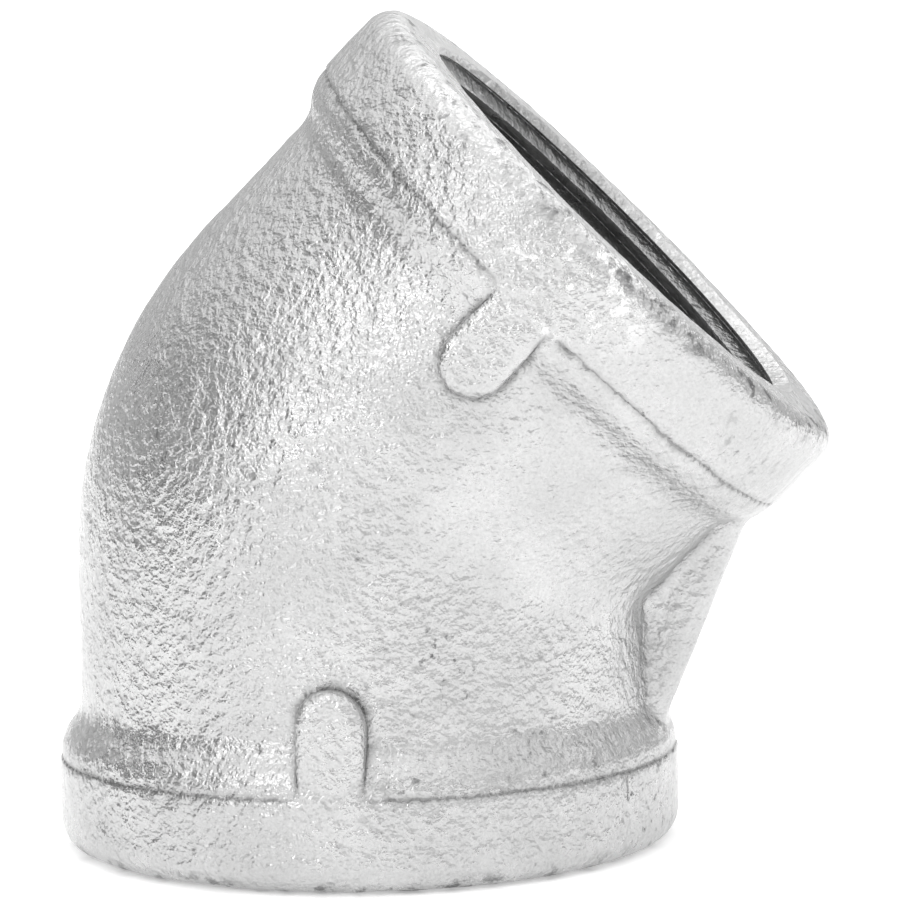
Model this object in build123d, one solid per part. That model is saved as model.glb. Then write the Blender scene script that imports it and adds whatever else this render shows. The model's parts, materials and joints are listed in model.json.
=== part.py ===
from build123d import *
import math
import os

os.makedirs("parts", exist_ok=True)

# Malleable-iron pipe elbow, 45 degrees, female taper pipe thread NPS 1-1/2 at both ends.
# Millimetres, +Z up. The origin is the centre of the lower port's end face, and the lower
# port's axis is +Z. The bend turns the passage towards +X. The casting is its own mirror
# image across Y = 0 and, but for the threads, across the plane through the bend's middle.

# --- pipe thread, ASME B1.20.1, NPT 1-1/2 -------------------------------------
THREADS_PER_INCH = 11.5
THREAD_MAJOR_RADIUS = 24.02    # root of the internal thread, at the end face
THREAD_TAPER = 1.0 / 32.0      # radius lost per millimetre of depth
THREAD_LENGTH = 17.8           # depth of the threaded socket
THREAD_FLANK_DEG = 30.0        # each flank against the radial direction
THREAD_ROOT_FLAT = 0.10
THREAD_CLEARANCE = 0.8         # how far the cut stands off the bored wall, towards the axis
THREAD_CUT_TURNS = 3           # turns cut at a time
THREAD_LEAD_IN = 2.133         # turns cut before the end face; sets where the thread starts
THREAD_DEPTH = 1.72            # from the bored wall out to the root, at the end face
MOUTH_CLEARANCE = 0.43         # countersink beyond the root, on radius

# --- casting -------------------------------------------------------------------
BEND_DEG = 45.0
CENTRE_TO_FACE = 36.3          # end face to the point where the two axes meet
BEND_RADIUS = 19.5             # centre line of the bend
PASSAGE_CLEARANCE = 0.58       # cast passage beyond the thread's root, on radius
WALL = 4.25                    # wall of the body
BAND_STEP = 2.35               # band above the body, on radius
BAND_WIDTH = 9.5
BAND_EDGE_R = 2.7              # rounding at the end face
SHOULDER_RISE = 1.4            # band to the corner that the shoulder rounds
SHOULDER_R = 3.2
FLARE_LENGTH = 2.6             # slope from that corner down to the body
FLARE_R = 3.0
RELIEF_CHAMFER = 1.2           # from the socket into the passage

# --- tabs on both sides and the web inside the bend ---------------------------
TAB_WIDTH = 7.2
TAB_REACH = 10.3               # tip of the tab beyond the band
TAB_SINK = 0.08                # tab face under the band's surface
TAB_EDGE_R = 0.9
WEB_THICKNESS = 11.0
WEB_PROUD = 1.05               # foot of the web beyond the body
WEB_FOOT_RISE = 2.05           # corner of the web above the band
WEB_EDGE_R = 2.0

# --- sizes that follow ----------------------------------------------------------
PITCH = 25.4 / THREADS_PER_INCH
TAPPING_RADIUS = THREAD_MAJOR_RADIUS - THREAD_DEPTH
MOUTH_RADIUS = THREAD_MAJOR_RADIUS + MOUTH_CLEARANCE
PASSAGE_RADIUS = THREAD_MAJOR_RADIUS + PASSAGE_CLEARANCE
BODY_RADIUS = PASSAGE_RADIUS + WALL
BAND_RADIUS = BODY_RADIUS + BAND_STEP
HALF_BEND = math.radians(BEND_DEG) / 2
LEG = CENTRE_TO_FACE - BEND_RADIUS * math.tan(HALF_BEND)
MEETING = Vector(0, 0, CENTRE_TO_FACE)
UPPER_AXIS = Vector(math.sin(2 * HALF_BEND), 0, math.cos(2 * HALF_BEND))
UPPER_FACE = MEETING + UPPER_AXIS * CENTRE_TO_FACE

# Both port frames stand on their end face, with Z into the elbow and X to the inside
# of the bend.
LOWER_PORT = Plane(origin=(0, 0, 0), x_dir=(1, 0, 0), z_dir=(0, 0, 1))
UPPER_PORT = Plane(
    origin=UPPER_FACE,
    x_dir=Vector(UPPER_AXIS.Z, 0, -UPPER_AXIS.X),
    z_dir=UPPER_AXIS * -1,
)
# The plane through the bend's middle. Half of the casting mirrors into the other half.
BEND_MIDDLE = Plane(
    origin=MEETING,
    x_dir=(0, 1, 0),
    z_dir=Vector(math.sin(HALF_BEND), 0, math.cos(HALF_BEND)),
)


def bend_of(radius):
    """The bent stretch of a round form, cut off flat where it would pass the bend's own axis."""
    section = Plane.XY.offset(LEG) * Circle(radius)
    inside = Plane.XY.offset(LEG) * Pos(BEND_RADIUS - 2 * radius, 0) * Rectangle(4 * radius, 4 * radius)
    section = section & inside
    hinge = Axis((BEND_RADIUS, 0, LEG), (0, 1, 0))
    return revolve(section, hinge, BEND_DEG)


def leg_of(radius, start):
    """A straight round stretch from a depth below the end face to the bend's middle."""
    return Pos(0, 0, start) * Cylinder(
        radius, LEG - start, align=(Align.CENTER, Align.CENTER, Align.MIN)
    )


def band():
    """The thick ring at a port, with a rounded rim and a rounded shoulder down to the body."""
    shoulder = BAND_WIDTH + SHOULDER_RISE
    top = shoulder + FLARE_LENGTH
    corners = [
        (0, 0),
        (BAND_RADIUS, 0),
        (BAND_RADIUS, shoulder),
        (BODY_RADIUS, top),
        (BODY_RADIUS, top + FLARE_LENGTH),
        (0, top + FLARE_LENGTH),
    ]
    outline = Plane.XZ * make_face(Polyline(*corners, close=True))

    def corner(radius, height):
        return outline.vertices().sort_by_distance((radius, 0, height))[0]

    outline = fillet(corner(BAND_RADIUS, 0), BAND_EDGE_R)
    outline = fillet(corner(BAND_RADIUS, shoulder), SHOULDER_R)
    outline = fillet(corner(BODY_RADIUS, top), FLARE_R)
    return revolve(outline, Axis.Z)


def tab(side):
    """The flat round-ended boss that runs from the band along the body, level with the band."""
    tip = BAND_WIDTH + TAB_REACH
    base = BAND_WIDTH / 2
    length = tip - base
    outline = Plane.XZ * Pos(0, base + length / 2) * Rectangle(TAB_WIDTH, length)
    ends = outline.vertices().sort_by(Axis.Z)[2:]
    outline = fillet(ends, 0.999 * TAB_WIDTH / 2)
    reach = BAND_RADIUS - TAB_SINK
    block = extrude(outline, reach + 1, both=True)
    block = block & (Pos(0, side * reach, tip / 2) * Box(2 * TAB_WIDTH, 2 * WALL + 2 * BAND_STEP, 2 * tip))
    block = block & Cylinder(reach, 4 * tip)
    outer = [
        edge
        for edge in block.edges()
        if abs(edge.center().Y) > reach - 1.0 and edge.center().Z > base + 0.1
    ]
    return fillet(outer, TAB_EDGE_R)


def web():
    """The flat-sided stiffener that fills the inside of the bend from band to band."""
    foot_x = BODY_RADIUS + WEB_PROUD
    foot = Vector(foot_x, 0, BAND_WIDTH / 2)
    corner = Vector(foot_x, 0, BAND_WIDTH + WEB_FOOT_RISE)
    across = BEND_MIDDLE.z_dir
    far_corner = corner - across * 2 * (corner - MEETING).dot(across)
    far_foot = foot - across * 2 * (foot - MEETING).dot(across)
    back = MEETING
    outline = make_face(Polyline(foot, corner, far_corner, far_foot, back, close=True))
    plate = extrude(outline, WEB_THICKNESS / 2, dir=(0, 1, 0), both=True)
    rims = [edge for edge in plate.edges() if abs(edge.center().Y) > WEB_THICKNESS / 2 - 0.01]
    return fillet(rims, WEB_EDGE_R)


def socket():
    """What is taken out at one port before tapping: the countersink and the bored wall."""
    sink = MOUTH_RADIUS - TAPPING_RADIUS
    corners = [
        (0, -1),
        (MOUTH_RADIUS + 1, -1),
        (TAPPING_RADIUS, sink),
        (TAPPING_RADIUS, THREAD_LENGTH - RELIEF_CHAMFER),
        (PASSAGE_RADIUS, THREAD_LENGTH + PASSAGE_RADIUS - TAPPING_RADIUS - RELIEF_CHAMFER),
        (0, THREAD_LENGTH + PASSAGE_RADIUS - TAPPING_RADIUS - RELIEF_CHAMFER),
    ]
    return revolve(Plane.XZ * make_face(Polyline(*corners, close=True)), Axis.Z)


def thread_groove(start):
    """A few turns of the taper tap's helical cut, from a depth below the end face."""
    root = THREAD_MAJOR_RADIUS - start * THREAD_TAPER
    depth = THREAD_DEPTH
    half_root = THREAD_ROOT_FLAT / 2
    half_mouth = half_root + depth * math.tan(math.radians(THREAD_FLANK_DEG))
    taper = math.degrees(math.atan(THREAD_TAPER))
    path = Pos(0, 0, start) * Helix(PITCH, THREAD_CUT_TURNS * PITCH, root, cone_angle=-taper)
    flank = [
        (root - depth - THREAD_CLEARANCE, -half_mouth),
        (root - depth, -half_mouth),
        (root, -half_root),
        (root, half_root),
        (root - depth, half_mouth),
        (root - depth - THREAD_CLEARANCE, half_mouth),
    ]
    section = Pos(0, 0, start) * (Plane.XZ * make_face(Polyline(*flank, close=True)))
    return sweep(section, path, is_frenet=True)


def outside():
    """Everything that the mould forms, as one closed form without its passage."""
    half = leg_of(BODY_RADIUS, BAND_WIDTH / 2) + band() + tab(1) + tab(-1)
    return half + bend_of(BODY_RADIUS) + mirror(half, BEND_MIDDLE) + web()


def passage():
    """The cored passage between the two sockets."""
    half = leg_of(PASSAGE_RADIUS, THREAD_LENGTH + PASSAGE_RADIUS - TAPPING_RADIUS - RELIEF_CHAMFER)
    return half + bend_of(PASSAGE_RADIUS) + mirror(half, BEND_MIDDLE)


casting = outside() - passage()
for port in (LOWER_PORT, UPPER_PORT):
    casting = casting - port.location * socket()
turns = math.ceil(THREAD_LENGTH / PITCH) + THREAD_CUT_TURNS
for first in range(0, turns, THREAD_CUT_TURNS):
    groove = thread_groove((first - THREAD_LEAD_IN) * PITCH)
    for port in (LOWER_PORT, UPPER_PORT):
        casting = casting - port.location * groove

(elbow_casting,) = casting.solids()
export_step(elbow_casting, "parts/elbow_casting.step")
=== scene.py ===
# %% [markdown]
# This lesson builds a forty-five degree pipe elbow: a malleable-iron casting, dipped in hot zinc,
# with a taper pipe thread tapped into each end. We first load the engineering model, which fixes
# where everything is, and keep its box so that at the end every vertex is held inside it.

# %% Load the frame and keep its box
import json
import math
import bmesh
import bpy
from mathutils import Matrix, Vector, noise


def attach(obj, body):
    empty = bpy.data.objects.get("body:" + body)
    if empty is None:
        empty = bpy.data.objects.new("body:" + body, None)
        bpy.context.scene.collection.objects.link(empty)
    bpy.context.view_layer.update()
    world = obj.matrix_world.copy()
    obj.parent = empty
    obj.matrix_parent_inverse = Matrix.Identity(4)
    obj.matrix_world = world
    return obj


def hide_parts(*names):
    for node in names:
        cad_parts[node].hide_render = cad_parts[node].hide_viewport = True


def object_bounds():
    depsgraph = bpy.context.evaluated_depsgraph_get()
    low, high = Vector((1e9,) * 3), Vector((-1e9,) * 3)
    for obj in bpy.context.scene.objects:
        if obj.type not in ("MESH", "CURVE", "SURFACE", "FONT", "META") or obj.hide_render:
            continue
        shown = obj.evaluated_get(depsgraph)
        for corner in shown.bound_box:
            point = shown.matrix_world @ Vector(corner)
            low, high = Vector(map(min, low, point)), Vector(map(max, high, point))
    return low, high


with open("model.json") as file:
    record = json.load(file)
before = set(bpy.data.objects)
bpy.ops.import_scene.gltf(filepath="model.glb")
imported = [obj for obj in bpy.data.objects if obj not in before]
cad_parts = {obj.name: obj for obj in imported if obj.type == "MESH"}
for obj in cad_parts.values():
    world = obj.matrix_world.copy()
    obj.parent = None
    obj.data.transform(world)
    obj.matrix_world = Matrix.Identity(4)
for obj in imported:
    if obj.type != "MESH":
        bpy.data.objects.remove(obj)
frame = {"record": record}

cad_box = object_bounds()
mounts = {m["name"]: m for m in frame["record"]["mounts"]}
print("CAD box", [round(v * 1000, 2) for v in (*cad_box[0], *cad_box[1])], "mm")

# %% [markdown]
# The elbow's sizes are the fitting's own, in millimetres. Modelling in millimetres keeps bevels
# and merges away from rounding trouble; the finished mesh is shrunk to metres in one step.
# Both halves of the casting are alike, so we model the lower half and turn a copy half a
# revolution about the line that runs through the middle of the bend.

# %% Sizes of the casting
BAND_R, BAND_WIDTH = 31.2, 9.5
BODY_R, PASSAGE_R = 28.85, 24.6
CENTRE_TO_FACE, BEND_R, BEND = 36.3, 19.5, math.radians(45)
LEG = CENTRE_TO_FACE - BEND_R * math.tan(BEND / 2)
TAB_WIDTH, TAB_REACH = 7.2, 10.3
TAB_ROOT_Y, TAB_FACE_Y = 24, 31.05
WEB_THICK, WEB_PROUD, WEB_RISE = 11.0, 1.05, 2.05
MEETING = Vector((0, 0, CENTRE_TO_FACE))
ACROSS = Vector((math.cos(BEND / 2), 0, -math.sin(BEND / 2)))
TO_UPPER = (Matrix.Translation(MEETING) @ Matrix.Rotation(math.pi, 4, ACROSS)
            @ Matrix.Translation(-MEETING))
upper_face = TO_UPPER @ Vector((0, 0, 0))
print("upper face centre", [round(v, 2) for v in upper_face],
      "against the mount", [round(v * 1000, 2) for v in mounts["upper_face"]["pos_m"]])

# %% Small helpers for meshes
def finish_bmesh(bm, name):
    """Turns a bmesh into an object at the origin, with doubles merged and faces outward."""
    bmesh.ops.remove_doubles(bm, verts=bm.verts, dist=0.001)
    bmesh.ops.recalc_face_normals(bm, faces=bm.faces)
    mesh = bpy.data.meshes.new(name)
    bm.to_mesh(mesh)
    bm.free()
    piece = bpy.data.objects.new(name, mesh)
    bpy.context.scene.collection.objects.link(piece)
    return piece


def apply_modifier(piece, kind, **settings):
    """Adds one modifier, sets it and bakes it into the mesh."""
    mod = piece.modifiers.new(kind, kind)
    for key, value in settings.items():
        setattr(mod, key, value)
    shown = piece.evaluated_get(bpy.context.evaluated_depsgraph_get())
    done = bpy.data.meshes.new_from_object(shown)
    old = piece.data
    piece.modifiers.clear()
    piece.data = done
    bpy.data.meshes.remove(old)


def join(pieces, name):
    """Puts several closed shells into one mesh; they may overlap until the remesh."""
    bm = bmesh.new()
    for piece in pieces:
        bm.from_mesh(piece.data)
        bpy.data.objects.remove(piece)
    mesh = bpy.data.meshes.new(name)
    bm.to_mesh(mesh)
    bm.free()
    whole = bpy.data.objects.new(name, mesh)
    bpy.context.scene.collection.objects.link(whole)
    return whole


def spun(outline, name, steps=192):
    """A closed solid of revolution about Z, from (radius, height) corners."""
    bm = bmesh.new()
    verts = [bm.verts.new((r, 0, z)) for r, z in outline]
    edges = [bm.edges.new(pair) for pair in zip(verts, verts[1:])]
    bmesh.ops.spin(bm, geom=verts + edges, cent=(0, 0, 0), axis=(0, 0, 1),
                   angle=2 * math.pi, steps=steps, use_merge=True, use_duplicate=False)
    return bm, name

# %% [markdown]
# A port is a straight leg that swells into a rounded shoulder, with a raised band round its end.
# On the casting a fine crease runs where the band stands up from the shoulder. If both were
# melted into one skin that crease would be lost, so the leg and the band are separate skins here
# and are joined by an exact union at the end.

# %% The lower leg with its shoulder
SHOULDER = [(30.85, 3.0), (31.0, 9.4), (30.98, 10.3), (30.72, 11.1), (30.3, 11.9),
            (29.6, 12.8), (29.1, 13.6), (28.9, 14.5)]


def leg_with_shoulder():
    bm, name = spun([(0, 3.0)] + SHOULDER + [(BODY_R, LEG + 0.3), (0, LEG + 0.3)], "leg")
    return finish_bmesh(bm, name)


leg = leg_with_shoulder()
print("leg", len(leg.data.vertices), "vertices")

# %% The raised band
def ring_edges(bm, radius, height):
    return [e for e in bm.edges
            if all(abs(v.co.z - height) < 0.01 and abs(v.co.xy.length - radius) < 0.01
                   for v in e.verts)]


def raised_band():
    bm, name = spun([(0, 0), (BAND_R, 0), (BAND_R, BAND_WIDTH), (0, BAND_WIDTH)], "band")
    bmesh.ops.remove_doubles(bm, verts=bm.verts, dist=0.001)
    for height, offset in ((0, 2.7), (BAND_WIDTH, 0.3)):
        bmesh.ops.bevel(bm, geom=ring_edges(bm, BAND_R, height), offset=offset, segments=6,
                        profile=0.5, affect="EDGES", material=-1)
    return finish_bmesh(bm, name)


band = raised_band()
print("band", len(band.data.vertices), "vertices")

# %% [markdown]
# The bend is a disc swung about the bend's own axis. The body is fatter than the bend's radius,
# so the disc is first cut off just short of that axis, or it would fold through itself.

# %% The bend
def bend_of(radius, name):
    bm = bmesh.new()
    bmesh.ops.create_circle(bm, cap_ends=True, radius=radius, segments=192,
                            matrix=Matrix.Translation((0, 0, LEG)))
    bmesh.ops.bisect_plane(bm, geom=bm.verts[:] + bm.edges[:] + bm.faces[:], dist=0.001,
                           plane_co=(BEND_R - 0.05, 0, 0), plane_no=(1, 0, 0), clear_outer=True)
    bmesh.ops.spin(bm, geom=bm.faces[:] + bm.edges[:] + bm.verts[:], cent=(BEND_R, 0, LEG),
                   axis=(0, 1, 0), angle=BEND, steps=40, use_duplicate=False)
    return finish_bmesh(bm, name)


bend = bend_of(BODY_R, "bend")
print("bend", [round(v, 1) for v in bend.dimensions])

# %% [markdown]
# Each band has a round-ended tab on both sides, nearly level with the band's face. It is a block
# with a half-round tip, drafted: a little narrower at its face than at its root.

# %% The tabs
def tab(side):
    bm = bmesh.new()
    half, tip, base = TAB_WIDTH / 2, BAND_WIDTH + TAB_REACH, BAND_WIDTH / 2
    bmesh.ops.create_circle(bm, cap_ends=True, radius=half, segments=48,
                            matrix=Matrix.Translation((0, side * TAB_ROOT_Y, tip - half))
                            @ Matrix.Rotation(math.pi / 2, 4, "X"))
    for v in bm.verts:
        if v.co.z < tip - half - 0.01:
            across = math.copysign(half, v.co.x) if abs(v.co.x) > 0.3 else v.co.x
            v.co = Vector((across, v.co.y, base))
    out = bmesh.ops.extrude_face_region(bm, geom=bm.faces[:])
    moved = [g for g in out["geom"] if isinstance(g, bmesh.types.BMVert)]
    bmesh.ops.translate(bm, verts=moved, vec=(0, side * (TAB_FACE_Y - TAB_ROOT_Y), 0))
    bmesh.ops.scale(bm, verts=moved, vec=(0.94, 1, 0.985),
                    space=Matrix.Translation((0, 0, -(tip - half))))
    bmesh.ops.recalc_face_normals(bm, faces=bm.faces)
    rim = [e for e in bm.edges if all(abs(v.co.y - side * TAB_FACE_Y) < 0.01 for v in e.verts)]
    bmesh.ops.bevel(bm, geom=rim, offset=0.7, segments=4, profile=0.5, affect="EDGES", material=-1)
    return finish_bmesh(bm, "tab")


tabs = [tab(1), tab(-1)]
print("tabs", [[round(v, 1) for v in t.dimensions] for t in tabs])

# %% [markdown]
# Inside the bend a flat-sided web runs from band to band. Drawn as a five-cornered plate and
# thickened both ways, then rounded along its rims like any cast edge.

# %% The web
def web():
    foot_x = BODY_R + WEB_PROUD
    low = [Vector((foot_x, 0, BAND_WIDTH / 2)), Vector((foot_x, 0, BAND_WIDTH + WEB_RISE))]
    corners = low + [TO_UPPER @ low[1], TO_UPPER @ low[0], MEETING]
    bm = bmesh.new()
    face = bm.faces.new([bm.verts.new(c - Vector((0, WEB_THICK / 2, 0))) for c in corners])
    out = bmesh.ops.extrude_face_region(bm, geom=[face])
    moved = [g for g in out["geom"] if isinstance(g, bmesh.types.BMVert)]
    bmesh.ops.translate(bm, verts=moved, vec=(0, WEB_THICK, 0))
    bmesh.ops.recalc_face_normals(bm, faces=bm.faces)
    rims = [e for e in bm.edges if abs(e.verts[0].co.y - e.verts[1].co.y) < 0.01]
    bmesh.ops.bevel(bm, geom=rims, offset=1.9, segments=5, profile=0.5, affect="EDGES", material=-1)
    return finish_bmesh(bm, "web")


stiffener = web()

# %% The upper half is the lower half, turned
def turned(piece):
    twin = bpy.data.objects.new(piece.name + "_upper", piece.data.copy())
    twin.data.transform(TO_UPPER)
    bpy.context.scene.collection.objects.link(twin)
    return twin


body = join([turned(leg), leg, bend, stiffener], "elbow_casting_zinc")
raised = join([band] + tabs, "raised_band")
print("overlapping shells joined:", len(body.data.vertices), "and", len(raised.data.vertices))

# %% [markdown]
# A voxel remesh melts overlapping shells into one skin, as the mould does with iron. It also
# leaves tiny steps, so a few light smoothing passes follow. Then only the hollows are smoothed
# on, until they are as round as a cast fillet, while outside edges stay as they are. The inside
# of the bend gets many more passes, because the real casting has no mitre line there.

# %% Skins with cast fillets
VOXEL = 0.545
THROAT_PASSES = 90


def hollow_depth(v):
    """How far a vertex lies below the mean of its neighbours: above zero in a hollow."""
    around = [e.other_vert(v).co for e in v.link_edges]
    return (sum(around, Vector()) / len(around) - v.co).dot(v.normal)


def smooth(bm, verts, factor):
    bmesh.ops.smooth_vert(bm, verts=verts, factor=factor, use_axis_x=True,
                          use_axis_y=True, use_axis_z=True)


def one_skin(piece, light, passes, rounder, where=None):
    apply_modifier(piece, "REMESH", mode="VOXEL", voxel_size=VOXEL, adaptivity=0.0)
    bm = bmesh.new()
    bm.from_mesh(piece.data)
    for _ in range(light):
        smooth(bm, bm.verts, 0.5)
    limit = VOXEL * VOXEL / (4 * rounder)
    for _ in range(passes):
        bm.normal_update()
        smooth(bm, [v for v in bm.verts if hollow_depth(v) > limit], 0.6)
    throat = [v for v in bm.verts if where and where(v.co)]
    for _ in range(THROAT_PASSES if throat else 0):
        smooth(bm, throat, 0.6)
    print(piece.name, len(bm.verts), "vertices,", len(throat), "of them in the throat")
    bm.to_mesh(piece.data)
    bm.free()


def in_throat(p):
    """The two sides of the web, near the line where the two legs would meet in a mitre."""
    off = (p - MEETING).dot(Vector((math.sin(BEND / 2), 0, math.cos(BEND / 2))))
    return 8.6 < abs(p.y) < 26 and abs(off) < 6.5 and (p - MEETING).dot(ACROSS) > 8


one_skin(body, light=3, passes=7, rounder=1.5, where=in_throat)
one_skin(raised, light=3, passes=14, rounder=2.2)

# %% [markdown]
# A sand casting is never quite even. Slow waves come from the mould and finer pebbling from the
# sand and the zinc that froze over it. We push each vertex along its normal by layered noise:
# real relief that catches light from any side. The grain that is finer than the mesh comes later,
# in the material.

# %% Cast and dipped relief
def relief(p):
    slow = noise.noise(p * 0.10) * 0.10
    mid = noise.noise(p * 0.33 + Vector((7, 3, 1))) * 0.05
    pebble = noise.noise(p * 0.62 + Vector((2, 9, 4))) * 0.06
    return slow + mid + pebble


def roughen(piece):
    bm = bmesh.new()
    bm.from_mesh(piece.data)
    bm.normal_update()
    moves = [(v, v.normal * (relief(v.co) - 0.10)) for v in bm.verts]
    for v, step in moves:
        v.co += step
    bm.to_mesh(piece.data)
    bm.free()
    print("relief up to", round(max(s.length for _, s in moves), 3), "mm")


upper_raised = turned(raised)
for piece in (body, raised, upper_raised):
    roughen(piece)


def combine_with(piece, tool, operation):
    before = len(piece.data.polygons)
    apply_modifier(piece, "BOOLEAN", object=tool, operation=operation, solver="MANIFOLD")
    print(operation.lower(), tool.name, before, "->", len(piece.data.polygons), "faces")
    bpy.data.objects.remove(tool)


casting = body
for piece in (raised, upper_raised):
    combine_with(casting, piece, "UNION")

# %% [markdown]
# The passage is cored in the mould, wider than the thread so that the tap runs out into it. We make
# its shape as a solid and take it away from the casting.

# %% The cored passage
THREAD_MAJOR, TAPPING_R, THREAD_LENGTH = 24.02, 22.3, 17.8
PITCH, TAPER, MOUTH_R = 25.4 / 11.5, 1 / 32, 24.45
THREAD_LEAD_IN = 2.133
BORE_END = THREAD_LENGTH - 1.2
RELIEF_END = BORE_END + PASSAGE_R - TAPPING_R


def passage():
    bm, name = spun([(0, BORE_END), (TAPPING_R, BORE_END), (PASSAGE_R, RELIEF_END),
                     (PASSAGE_R, LEG + 0.3), (0, LEG + 0.3)], "passage", 128)
    low = finish_bmesh(bm, name)
    core = join([low, turned(low), bend_of(PASSAGE_R, "passage_bend")], "core")
    apply_modifier(core, "REMESH", mode="VOXEL", voxel_size=1.0, adaptivity=0.0)
    apply_modifier(core, "SMOOTH", factor=0.5, iterations=4)
    return core


combine_with(casting, passage(), "DIFFERENCE")

# %% [markdown]
# The thread is made with a tap, here as in the shop. One tooth's outline spun round the axis while
# it climbs one pitch a turn makes the tap's skin; its turns meet edge to edge, so merging doubles
# joins them. The skin is then narrowed towards the tip, as a taper pipe tap is, and capped.

# %% The tap and the countersink
def tap(steps=144):
    bm = bmesh.new()
    start, turns = -THREAD_LEAD_IN * PITCH - PITCH / 2, 13
    half = PITCH / 2
    tooth = [(TAPPING_R - 0.04, 0), (TAPPING_R - 0.04, half - 1.05), (THREAD_MAJOR, half - 0.04),
             (THREAD_MAJOR, half + 0.04), (TAPPING_R - 0.04, PITCH)]
    verts = [bm.verts.new((r, 0, start + z)) for r, z in tooth]
    edges = [bm.edges.new(pair) for pair in zip(verts, verts[1:])]
    bmesh.ops.spin(bm, geom=verts + edges, cent=(0, 0, 0), axis=(0, 0, 1),
                   angle=2 * math.pi * turns, steps=steps * turns,
                   dvec=(0, 0, PITCH / steps), use_duplicate=False)
    bmesh.ops.remove_doubles(bm, verts=bm.verts, dist=0.002)
    for v in bm.verts:
        around = v.co.xy.length
        narrowed = max(TAPPING_R, around - max(0.0, v.co.z) * TAPER)
        v.co.x *= narrowed / around
        v.co.y *= narrowed / around
    for height, side in ((-1.0, -1), (RELIEF_END - 0.4, 1)):
        bmesh.ops.bisect_plane(bm, geom=bm.verts[:] + bm.edges[:] + bm.faces[:], dist=0.0001,
                               plane_co=(0, 0, height), plane_no=(0, 0, side), clear_outer=True)
    bmesh.ops.holes_fill(bm, edges=[e for e in bm.edges if e.is_boundary], sides=0)
    return finish_bmesh(bm, "tap")


def countersink():
    sink = MOUTH_R - TAPPING_R
    bm, name = spun([(0, -1), (MOUTH_R + 1, -1), (TAPPING_R - 0.5, sink + 0.5), (0, sink + 0.5)],
                    "countersink", 144)
    return finish_bmesh(bm, name)


def facing_cut():
    """A flat slab that trims the end face true, 0.02 mm inside the port's plane."""
    bm = bmesh.new()
    bmesh.ops.create_cube(bm, size=80, matrix=Matrix.Translation((0, 0, -39.98)))
    return finish_bmesh(bm, "facing_cut")


for turn in (False, True):
    for tool in (facing_cut(), countersink(), tap()):
        if turn:
            tool.data.transform(TO_UPPER)
        check = bmesh.new()
        check.from_mesh(tool.data)
        open_edges = sum(1 for e in check.edges if not e.is_manifold)
        check.free()
        print(tool.name, "open edges", open_edges)
        combine_with(casting, tool, "DIFFERENCE")

# %% [markdown]
# The finish changes with the shape: the creases are darkened as painted shade, and the rim by each
# end face is pitted. Measuring both once and storing them as attributes lets the material read
# them, and they stay with the surface from every side.

# %% Measure hollows and rims, and mark the machined faces
def store(mesh, name, values):
    layer = mesh.attributes.new(name, "FLOAT", "POINT")
    layer.data.foreach_set("value", values)


def spread_out(values, around, passes):
    for _ in range(passes):
        values = [max(h, 0.5 * h + 0.5 * sum(values[i] for i in n) / max(1, len(n)))
                  for h, n in zip(values, around)]
    return values


def measure_surface(piece):
    bm = bmesh.new()
    bm.from_mesh(piece.data)
    bm.normal_update()
    # how sharply the surface turns inward; the zinc colour darkens there as painted shade
    crease = []
    for v in bm.verts:
        turn_in = [-e.calc_face_angle_signed(0.0) for e in v.link_edges if e.is_manifold]
        crease.append(max(0.0, min(1.0, (max(turn_in, default=0.0) - 0.22) / 0.6)))
    around = [[e.other_vert(v).index for e in v.link_edges] for v in bm.verts]
    crease = spread_out(crease, around, 3)
    ports = (Matrix.Identity(4), TO_UPPER.inverted())
    rim, depth, crest = [], [], []
    for v in bm.verts:
        near = [p @ v.co for p in ports]
        rim.append(max(max(0.0, 1 - max(0.0, q.z) / 2.8) * (q.xy.length > 27.5) for q in near))
        inside = min((q for q in near), key=lambda q: q.z if q.xy.length < 25.2 else 99.0)
        depth.append(inside.z if inside.xy.length < 25.2 else 99.0)
        # painted shade: the crest's lighter colour fades out with depth into the port
        lit_near_mouth = max(0.0, min(1.0, 1.6 - inside.z / 3.0))
        crest.append(lit_near_mouth * max(0.0, min(1.0, 1 - (inside.xy.length - TAPPING_R) / 0.7)))
    tapped = [min(depth[v.index] for v in f.verts) < RELIEF_END - 0.5
              and max(depth[v.index] for v in f.verts) < RELIEF_END + 0.2 for f in bm.faces]
    bm.free()
    for name, values in (("crease", crease), ("rim", rim), ("crest", crest)):
        store(piece.data, name, values)
    piece.data.polygons.foreach_set("material_index", [int(t) for t in tapped])
    print("machined faces", sum(tapped), "creased vertices", sum(1 for c in crease if c > 0.5))


measure_surface(casting)

# %% [markdown]
# Hot-dip zinc is a bright metal skin over rough iron. Its look comes from four things: orange-peel
# relief about a millimetre across, patches that froze duller than others, grey specks where dross
# or iron shows, and painted shade darkening the creases. Bright splashes of zinc lie near one upper
# tab. Each is a noise of its own size.

# %% The zinc finish
def node(tree, kind, **settings):
    made = tree.nodes.new(kind)
    for key, value in settings.items():
        if key in made.inputs:
            made.inputs[key].default_value = value
        else:
            setattr(made, key, value)
    return made


def noise_node(tree, where, scale, detail=3.0, rough=0.55):
    made = node(tree, "ShaderNodeTexNoise", Scale=scale, Detail=detail, Roughness=rough)
    tree.links.new(where.outputs["Object"], made.inputs["Vector"])
    return made.outputs["Fac"]


def spread(tree, source, low, high, out_low=0.0, out_high=1.0):
    made = node(tree, "ShaderNodeMapRange", clamp=True)
    for name, value in (("From Min", low), ("From Max", high),
                        ("To Min", out_low), ("To Max", out_high)):
        made.inputs[name].default_value = value
    tree.links.new(source, made.inputs["Value"])
    return made.outputs["Result"]


def combine(tree, operation, a, b):
    made = node(tree, "ShaderNodeMath", operation=operation, use_clamp=operation != "ADD")
    for i, part in enumerate((a, b)):
        if isinstance(part, (int, float)):
            made.inputs[i].default_value = part
        else:
            tree.links.new(part, made.inputs[i])
    return made.outputs[0]


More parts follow.
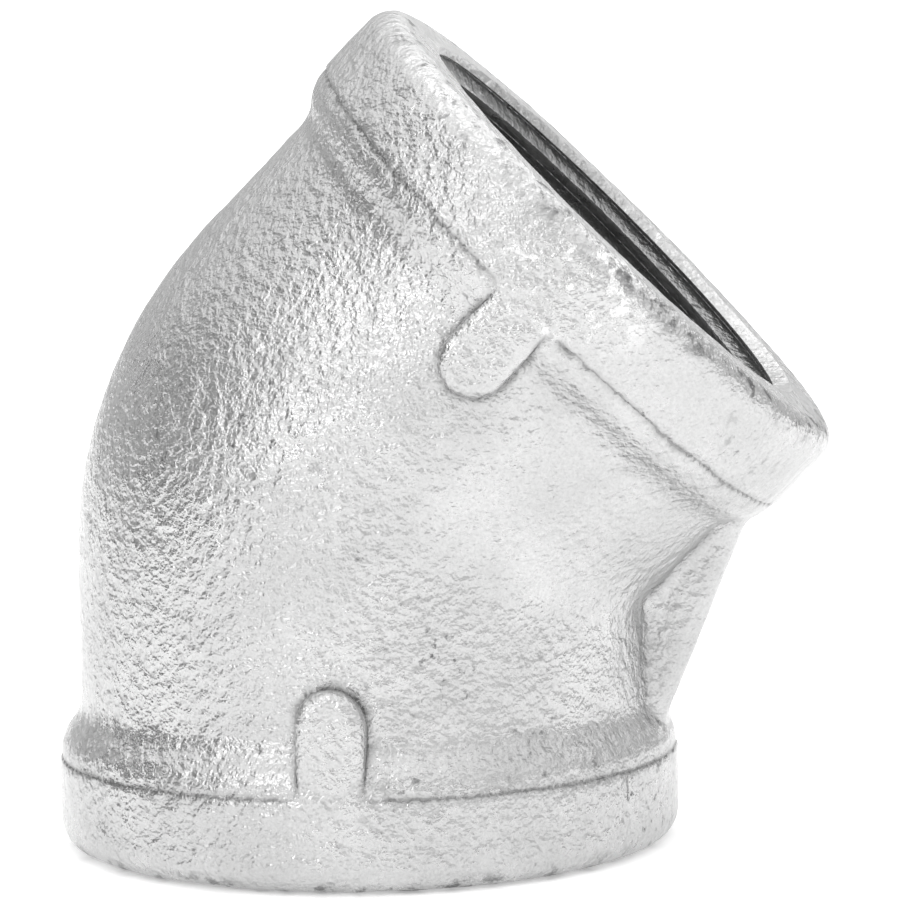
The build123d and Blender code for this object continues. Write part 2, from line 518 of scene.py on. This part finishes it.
def blend_colour(tree, fac, a, b):
    made = node(tree, "ShaderNodeMix", data_type="RGBA")
    tree.links.new(fac, made.inputs["Factor"])
    for socket, part in ((made.inputs[6], a), (made.inputs[7], b)):
        if isinstance(part, tuple):
            socket.default_value = (*part, 1)
        else:
            tree.links.new(part, socket)
    return made.outputs[2]


SPLASH_SPOT = (0.0250, -0.0305, 0.0600)    # metres; where the near upper tab meets its band


def close_to(tree, where, spot, full, none):
    """1 within `full` metres of a spot on the piece, fading to 0 at `none`."""
    away = node(tree, "ShaderNodeVectorMath", operation="DISTANCE")
    away.inputs[1].default_value = spot
    tree.links.new(where.outputs["Object"], away.inputs[0])
    return spread(tree, away.outputs["Value"], full, none, 1.0, 0.0)


def zinc_finish():
    mat = bpy.data.materials.new("hot_dip_zinc")
    mat.use_nodes = True
    tree = mat.node_tree
    shader = tree.nodes["Principled BSDF"]
    where = node(tree, "ShaderNodeTexCoord")
    crease = node(tree, "ShaderNodeAttribute", attribute_name="crease").outputs["Fac"]
    rim = node(tree, "ShaderNodeAttribute", attribute_name="rim").outputs["Fac"]
    patches = spread(tree, noise_node(tree, where, 75, 4), 0.36, 0.66)
    grain = noise_node(tree, where, 1500, 3)
    fine = noise_node(tree, where, 3200, 2)
    pebbles = noise_node(tree, where, 860, 2)
    clusters = spread(tree, noise_node(tree, where, 45, 3), 0.55, 0.70)
    dots = spread(tree, noise_node(tree, where, 800, 4, 0.7), 0.58, 0.66)
    scale_marks = spread(tree, noise_node(tree, where, 380, 5, 0.7), 0.52, 0.60)
    by_rim = combine(tree, "MULTIPLY", scale_marks, spread(tree, rim, 0.25, 0.8))
    specks = combine(tree, "MAXIMUM", combine(tree, "MULTIPLY", dots, clusters), by_rim)
    colour = blend_colour(tree, patches, (0.52, 0.52, 0.52), (0.61, 0.61, 0.61))
    hollows = spread(tree, fine, 0.35, 0.65, 0.30, 0.0)
    colour = blend_colour(tree, hollows, colour, (0.36, 0.36, 0.36))
    # painted shade: the zinc colour is darkened along the concave creases and fillets
    crease_shade = spread(tree, crease, 0.03, 0.6, 0.0, 0.75)
    colour = blend_colour(tree, crease_shade, colour, (0.17, 0.17, 0.17))
    colour = blend_colour(tree, spread(tree, specks, 0, 1, 0, 0.9), colour, (0.11, 0.11, 0.112))
    blobs = spread(tree, noise_node(tree, where, 420, 5, 0.65), 0.54, 0.60)
    splash = combine(tree, "MULTIPLY", blobs, close_to(tree, where, SPLASH_SPOT, 0.002, 0.010))
    colour = blend_colour(tree, splash, colour, (0.93, 0.93, 0.93))
    tree.links.new(colour, shader.inputs["Base Color"])
    shader.inputs["Metallic"].default_value = 0.85
    uneven = combine(tree, "ADD", combine(tree, "MULTIPLY", pebbles, 0.5),
                     combine(tree, "MULTIPLY", patches, 0.3))
    dull = spread(tree, uneven, 0.1, 0.7, 0.36, 0.22)
    tree.links.new(dull, shader.inputs["Roughness"])
    height = combine(tree, "ADD", combine(tree, "MULTIPLY", grain, 0.45), pebbles)
    height = combine(tree, "ADD", height, combine(tree, "MULTIPLY", fine, 0.22))
    height = combine(tree, "ADD", height, combine(tree, "MULTIPLY", splash, 0.5))
    height = combine(tree, "ADD", height, combine(tree, "MULTIPLY", specks, -0.5))
    bump = node(tree, "ShaderNodeBump", Strength=1.0, Distance=0.00036)
    tree.links.new(height, bump.inputs["Height"])
    tree.links.new(bump.outputs["Normal"], shader.inputs["Normal"])
    return mat

# %% [markdown]
# The threads are cut after dipping, so they are bare iron wet with cutting oil, with fine marks;
# their near-black colour is partly that oil and partly painted shade for the port's dark inside.
# The crest nearest the mouth is lighter, and the deeper crests fade to dark as painted shade that
# grows with depth.

# %% The oiled thread finish
def thread_finish():
    mat = bpy.data.materials.new("oiled_thread_and_shade")
    mat.use_nodes = True
    tree = mat.node_tree
    shader = tree.nodes["Principled BSDF"]
    where = node(tree, "ShaderNodeTexCoord")
    stain = spread(tree, noise_node(tree, where, 260, 4), 0.35, 0.68)
    crest = node(tree, "ShaderNodeAttribute", attribute_name="crest").outputs["Fac"]
    # near-black thread colour: partly oiled bare iron, partly painted shade for the port's dark
    # inside
    colour = blend_colour(tree, stain, (0.005, 0.005, 0.005), (0.018, 0.018, 0.018))
    # crest colour: lighter near the mouth, fading with depth as painted shade
    colour = blend_colour(tree, spread(tree, crest, 0.45, 1.0), colour, (0.24, 0.24, 0.242))
    tree.links.new(colour, shader.inputs["Base Color"])
    shader.inputs["Metallic"].default_value = 0.60
    shader.inputs["Specular IOR Level"].default_value = 0.10
    tree.links.new(spread(tree, stain, 0, 1, 0.36, 0.52), shader.inputs["Roughness"])
    bump = node(tree, "ShaderNodeBump", Strength=0.15, Distance=0.00005)
    tree.links.new(noise_node(tree, where, 1900, 3), bump.inputs["Height"])
    tree.links.new(bump.outputs["Normal"], shader.inputs["Normal"])
    return mat


casting.data.materials.clear()
for finish in (zinc_finish(), thread_finish()):
    casting.data.materials.append(finish)
casting.data.transform(Matrix.Scale(0.001, 4))
for v in casting.data.vertices:
    v.co = [min(max(c, lo), hi) for c, lo, hi in zip(v.co, *cad_box)]
casting.data.shade_smooth()
casting.data.set_sharp_from_angle(angle=math.radians(38))
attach(casting, "root")
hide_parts("elbow_casting")
print("casting", sum(len(p.vertices) - 2 for p in casting.data.polygons), "triangles")

# %% [markdown]
# The elbow stands on a plain pale floor under soft studio light: a wide key from the front left, a
# fill from the right, one above and one behind for the rims. A bright metal only shows its shape
# by what it reflects, so the surroundings are left greyer than the lights.

# %% Floor, light and camera
def floor():
    bm = bmesh.new()
    bmesh.ops.create_grid(bm, x_segments=1, y_segments=1, size=60.0)
    mesh = bpy.data.meshes.new("floor")
    bm.to_mesh(mesh)
    bm.free()
    plane = bpy.data.objects.new("floor", mesh)
    bpy.context.scene.collection.objects.link(plane)
    mat = bpy.data.materials.new("pale_floor")
    mat.use_nodes = True
    shader = mat.node_tree.nodes["Principled BSDF"]
    shader.inputs["Base Color"].default_value = (0.93, 0.93, 0.93, 1)
    shader.inputs["Roughness"].default_value = 0.9
    shader.inputs["Emission Color"].default_value = (1, 1, 1, 1)
    shader.inputs["Emission Strength"].default_value = 0.32
    mesh.materials.append(mat)


def soft_light(name, spot, size, watts):
    data = bpy.data.lights.new(name, "AREA")
    data.shape, data.size, data.energy = "DISK", size, watts
    lamp = bpy.data.objects.new(name, data)
    lamp.location = spot
    aim = Vector((0.008, 0, 0.04)) - Vector(spot)
    lamp.rotation_euler = aim.to_track_quat("-Z", "Y").to_euler()
    bpy.context.scene.collection.objects.link(lamp)


def studio_room():
    """A pale room with one dark side, so that the bright metal has something to reflect."""
    world = bpy.data.worlds.new("studio")
    bpy.context.scene.world = world
    world.use_nodes = True
    tree = world.node_tree
    way = node(tree, "ShaderNodeTexCoord")
    facing = node(tree, "ShaderNodeVectorMath", operation="DOT_PRODUCT")
    facing.inputs[1].default_value = Vector((-0.99, -0.10, 0.10)).normalized()
    tree.links.new(way.outputs["Generated"], facing.inputs[0])
    dark = spread(tree, facing.outputs["Value"], 0.82, 0.95)
    height = node(tree, "ShaderNodeSeparateXYZ")
    tree.links.new(way.outputs["Generated"], height.inputs[0])
    ceiling = spread(tree, height.outputs["Z"], 0.28, 0.62)
    shade = blend_colour(tree, ceiling, (0.76, 0.76, 0.76), (1.80, 1.80, 1.80))
    shade = blend_colour(tree, dark, shade, (0.01, 0.01, 0.01))
    tree.links.new(shade, tree.nodes["Background"].inputs["Color"])
    tree.nodes["Background"].inputs["Strength"].default_value = 0.76


floor()
soft_light("key", (-0.42, -0.70, 0.40), 0.30, 1.3)
soft_light("fill", (0.85, -0.45, 0.35), 0.60, 0.15)
soft_light("above", (0.05, 0.10, 1.0), 0.60, 1.3)
soft_light("behind", (0.30, 0.85, 0.60), 0.60, 1.0)
studio_room()
bpy.context.scene.view_settings.view_transform = "Standard"

azimuth, elevation, roll = math.radians(5.92), math.radians(6.43), math.radians(-1.0)
unit = 0.03127
back = Vector((math.sin(azimuth) * math.cos(elevation), -math.cos(azimuth) * math.cos(elevation),
               math.sin(elevation)))
level = Vector((math.cos(azimuth), math.sin(azimuth), 0))
upright = back.cross(level)
right = level * math.cos(roll) + upright * math.sin(roll)
up = back.cross(right)
camera = bpy.data.objects.new("camera", bpy.data.cameras.new("camera"))
camera.data.lens, camera.data.sensor_width = 173.5, 36
turn = Matrix((right, up, back)).transposed().to_4x4()
spot = MEETING * 0.001 + (back * 13.9 + right * 0.276 + up * 0.0854) * unit
camera.matrix_world = Matrix.Translation(spot) @ turn
bpy.context.scene.collection.objects.link(camera)
bpy.context.scene.camera = camera
